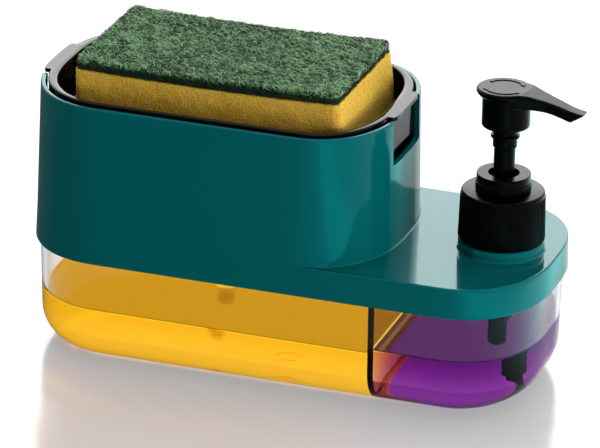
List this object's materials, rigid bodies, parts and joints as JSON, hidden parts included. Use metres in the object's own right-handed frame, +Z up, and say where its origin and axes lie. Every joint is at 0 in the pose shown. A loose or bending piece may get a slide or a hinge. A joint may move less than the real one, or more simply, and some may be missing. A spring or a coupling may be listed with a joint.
{
  "type": "soap dispenser",
  "caption": "Two-chamber dish soap dispenser: clear tank, teal lid with a sponge well, press-down sponge tray over a hidden pump, and a screw-on hand pump with a swivelling spout.",
  "frame": {"origin": "on the tank's underside, below the middle of the lid's length and width", "axes": "+X along the dispenser from the sponge well to the hand pump, -Y towards the picture's front, +Z up"},
  "size_m": [0.2126, 0.094, 0.119],
  "materials": {
    "tank_clear": "gloss",
    "partition_clear": "gloss",
    "seal_black": "matte",
    "amber_liquid": "gloss",
    "violet_liquid": "gloss",
    "lid_teal": "gloss",
    "gasket_silicone": "matte",
    "press_pump_natural": "satin",
    "press_stem_natural": "satin",
    "retainer_white": "satin",
    "ball_steel": "polished",
    "spring_steel": "polished",
    "piston_natural": "satin",
    "tray_black": "gloss",
    "outlet_black": "satin",
    "foam_yellow": "matte",
    "pad_green": "matte",
    "pump_black": "satin"
  },
  "bodies": {
    "tank": {"tank": "tank_clear", "partition": "partition_clear", "partition_seal": "seal_black", "amber_soap": "amber_liquid", "violet_soap": "violet_liquid"},
    "lid": {"lid": "lid_teal", "lid_gasket": "gasket_silicone", "press_housing": "press_pump_natural", "press_gasket": "gasket_silicone", "press_retainer": "retainer_white", "press_guide": "press_pump_natural", "press_ball": "ball_steel", "press_dip_tube": "press_pump_natural", "press_spring": "spring_steel"},
    "tray": {"sponge_tray": "tray_black", "tray_outlet": "outlet_black", "press_stem": "press_stem_natural", "press_piston": "piston_natural", "press_piston_seat": "piston_natural"},
    "sponge": {"sponge_foam": "foam_yellow", "scouring_pad": "pad_green"},
    "pump_unit": {"pump_housing": "pump_black", "pump_gasket": "gasket_silicone", "pump_guide": "pump_black", "pump_ball": "ball_steel", "pump_dip_tube": "pump_black", "pump_spring": "spring_steel"},
    "collar": {"pump_collar": "pump_black"},
    "plunger": {"pump_stem": "pump_black", "pump_piston": "piston_natural", "pump_piston_seat": "piston_natural"},
    "head": {"pump_head": "pump_black"}
  },
  "joints": [
    {"name": "lid_lift", "type": "slide", "parent": "tank", "child": "lid", "axis": [0, 0, 1], "range_m": [0, 0.06]},
    {"name": "tray_press", "type": "slide", "parent": "lid", "child": "tray", "axis": [0, 0, 1], "range_m": [-0.014, 0], "stiffness_N_per_m": 900, "springref_m": 0.006, "deforming": ["press_spring"]},
    {"name": "sponge_lift", "type": "slide", "parent": "tray", "child": "sponge", "axis": [0, 0, 1], "range_m": [0, 0.04]},
    {"name": "pump_lift", "type": "slide", "parent": "lid", "child": "pump_unit", "axis": [0, 0, 1], "range_m": [0, 0.00635]},
    {"name": "collar_turn", "type": "hinge", "parent": "pump_unit", "child": "collar", "pos_m": [0.0795, 0, 0.068], "axis": [0, 0, 1], "range_deg": [0, 540]},
    {"name": "head_press", "type": "slide", "parent": "pump_unit", "child": "plunger", "axis": [0, 0, 1], "range_m": [-0.016, 0], "stiffness_N_per_m": 500, "springref_m": 0.004, "deforming": ["pump_spring"]},
    {"name": "head_turn", "type": "hinge", "parent": "plunger", "child": "head", "pos_m": [0.0795, 0, 0.11], "axis": [0, 0, 1], "continuous": true}
  ],
  "couplings": [
    {"joint": "pump_lift", "follows": "collar_turn", "m_per_rad": 0.000673}
  ]
}
